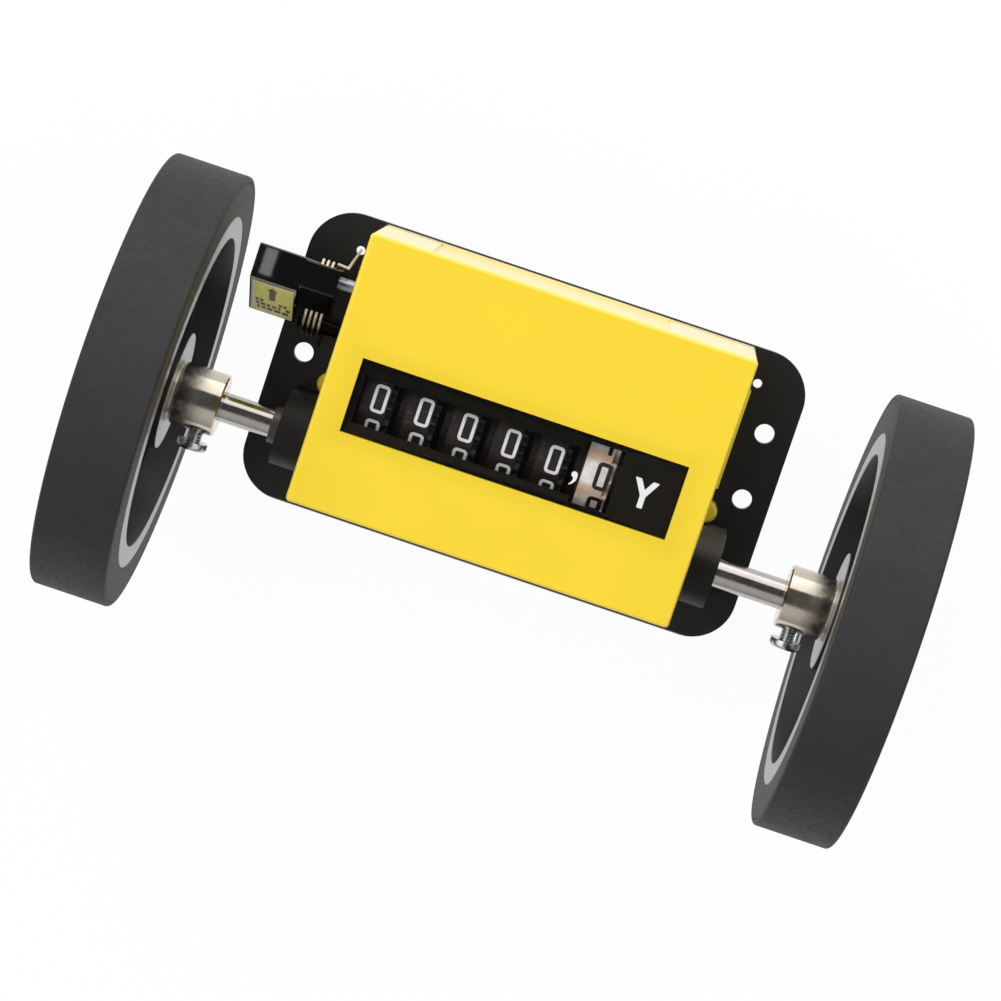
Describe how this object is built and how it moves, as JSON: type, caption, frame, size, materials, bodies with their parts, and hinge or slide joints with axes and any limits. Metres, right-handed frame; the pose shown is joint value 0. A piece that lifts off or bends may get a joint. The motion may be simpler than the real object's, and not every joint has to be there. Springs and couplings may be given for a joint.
{
  "type": "cable length counter",
  "caption": "Plate-mounted length counter: two rubber-tyred measuring wheels on one axle drive number drums behind a window, with a sprung reset lever.",
  "frame": {"origin": "centre of the four mounting holes, on the underside of the base plate", "axes": "+X along the axle towards the right-hand wheel, +Y from the axle towards the rear edge of the cover, +Z out of the plate towards the window"},
  "size_m": [0.1787, 0.097, 0.097],
  "materials": {
    "plate_black": "satin black stove enamel on steel plate",
    "frame_black": "fine-grained black moulding",
    "cover_yellow": "smooth semi-gloss yellow moulding",
    "window_clear": "clear polished pane",
    "mask_black": "matt black print",
    "ground_steel": "ground along its length",
    "collar_steel": "dark phosphated steel",
    "bush_bronze": "sintered bronze",
    "gear_brass": "hobbed brass",
    "gear_white": "natural acetal",
    "drum_black": "matt black moulding with white figures",
    "drum_white": "matt white moulding with black figures",
    "tyre_rubber": "dark grey cast rubber",
    "wheel_aluminium": "machined faces, black-painted recesses",
    "hub_nickel": "turned and nickel plated",
    "screw_zinc": "bright zinc plate",
    "spring_wire": "drawn spring wire",
    "lever_black": "polished black moulding",
    "label_yellow": "printed yellow sticker"
  },
  "bodies": {
    "housing": {"base_plate": "plate_black", "left_frame": "frame_black", "right_frame": "frame_black", "left_bush": "bush_bronze", "right_bush": "bush_bronze", "tie_bars": "ground_steel", "drum_shaft": "ground_steel", "pinion_shaft": "ground_steel", "drum_spacers": "frame_black", "pinion_spacers": "frame_black", "frame_screws": "screw_zinc", "cover_screws": "screw_zinc", "cover": "cover_yellow", "window_mask": "mask_black", "window_pane": "window_clear", "front_spring_pin": "ground_steel", "front_spring": "spring_wire", "rear_spring": "spring_wire"},
    "axle_and_wheels": {"axle": "ground_steel", "thrust_collars": "collar_steel", "drive_pinion": "gear_brass", "left_tyre": "tyre_rubber", "right_tyre": "tyre_rubber", "left_wheel": "wheel_aluminium", "right_wheel": "wheel_aluminium", "left_hub": "hub_nickel", "right_hub": "hub_nickel", "left_set_screw": "screw_zinc", "right_set_screw": "screw_zinc"},
    "reset": {"reset_lever": "lever_black", "reset_label": "label_yellow", "reset_shaft": "ground_steel", "reset_comb": "frame_black"},
    "tenths_drum": {"drum_tenths": "drum_white", "input_gear": "gear_white"},
    "units_drum": {"drum_units": "drum_black"},
    "tens_drum": {"drum_tens": "drum_black"},
    "hundreds_drum": {"drum_hundreds": "drum_black"},
    "thousands_drum": {"drum_thousands": "drum_black"},
    "ten_thousands_drum": {"drum_ten_thousands": "drum_black"},
    "units_carry": {"carry_pinion_units": "gear_white"},
    "tens_carry": {"carry_pinion_tens": "gear_white"},
    "hundreds_carry": {"carry_pinion_hundreds": "gear_white"},
    "thousands_carry": {"carry_pinion_thousands": "gear_white"},
    "ten_thousands_carry": {"carry_pinion_ten_thousands": "gear_white"}
  },
  "joints": [
    {"name": "axle_spin", "type": "hinge", "parent": "housing", "child": "axle_and_wheels", "pos_m": [0.00108, -0.02303, 0.0118], "axis": [1, 0, 0], "continuous": true},
    {"name": "drum_tenths_spin", "type": "hinge", "parent": "housing", "child": "tenths_drum", "pos_m": [0, -0.00866, 0.01997], "axis": [1, 0, 0], "continuous": true},
    {"name": "drum_units_spin", "type": "hinge", "parent": "housing", "child": "units_drum", "pos_m": [0, -0.00866, 0.01997], "axis": [1, 0, 0], "continuous": true},
    {"name": "drum_tens_spin", "type": "hinge", "parent": "housing", "child": "tens_drum", "pos_m": [0, -0.00866, 0.01997], "axis": [1, 0, 0], "continuous": true},
    {"name": "drum_hundreds_spin", "type": "hinge", "parent": "housing", "child": "hundreds_drum", "pos_m": [0, -0.00866, 0.01997], "axis": [1, 0, 0], "continuous": true},
    {"name": "drum_thousands_spin", "type": "hinge", "parent": "housing", "child": "thousands_drum", "pos_m": [0, -0.00866, 0.01997], "axis": [1, 0, 0], "continuous": true},
    {"name": "drum_ten_thousands_spin", "type": "hinge", "parent": "housing", "child": "ten_thousands_drum", "pos_m": [0, -0.00866, 0.01997], "axis": [1, 0, 0], "continuous": true},
    {"name": "carry_pinion_units_spin", "type": "hinge", "parent": "housing", "child": "units_carry", "pos_m": [0, 0.00156, 0.0079], "axis": [1, 0, 0], "continuous": true},
    {"name": "carry_pinion_tens_spin", "type": "hinge", "parent": "housing", "child": "tens_carry", "pos_m": [0, 0.00156, 0.0079], "axis": [1, 0, 0], "continuous": true},
    {"name": "carry_pinion_hundreds_spin", "type": "hinge", "parent": "housing", "child": "hundreds_carry", "pos_m": [0, 0.00156, 0.0079], "axis": [1, 0, 0], "continuous": true},
    {"name": "carry_pinion_thousands_spin", "type": "hinge", "parent": "housing", "child": "thousands_carry", "pos_m": [0, 0.00156, 0.0079], "axis": [1, 0, 0], "continuous": true},
    {"name": "carry_pinion_ten_thousands_spin", "type": "hinge", "parent": "housing", "child": "ten_thousands_carry", "pos_m": [0, 0.00156, 0.0079], "axis": [1, 0, 0], "continuous": true},
    {"name": "reset_swing", "type": "hinge", "parent": "housing", "child": "reset", "pos_m": [-0.05, 0.01063, 0.01771], "axis": [-1, 0, 0], "range_deg": [0, 22], "stiffness_Nm_per_rad": 0.03, "springref_deg": -11.46, "deforming": ["rear_spring", "front_spring"]}
  ],
  "couplings": [
    {"joint": "drum_tenths_spin", "follows": "axle_spin", "ratio": -0.33333},
    {"joint": "drum_units_spin", "follows": "axle_spin", "ratio": -0.033333},
    {"joint": "drum_tens_spin", "follows": "axle_spin", "ratio": -0.0033333},
    {"joint": "drum_hundreds_spin", "follows": "axle_spin", "ratio": -0.00033333},
    {"joint": "drum_thousands_spin", "follows": "axle_spin", "ratio": -0.000033333},
    {"joint": "drum_ten_thousands_spin", "follows": "axle_spin", "ratio": -0.0000033333},
    {"joint": "carry_pinion_units_spin", "follows": "axle_spin", "ratio": 0.083333},
    {"joint": "carry_pinion_tens_spin", "follows": "axle_spin", "ratio": 0.0083333},
    {"joint": "carry_pinion_hundreds_spin", "follows": "axle_spin", "ratio": 0.00083333},
    {"joint": "carry_pinion_thousands_spin", "follows": "axle_spin", "ratio": 0.000083333},
    {"joint": "carry_pinion_ten_thousands_spin", "follows": "axle_spin", "ratio": 0.0000083333}
  ]
}
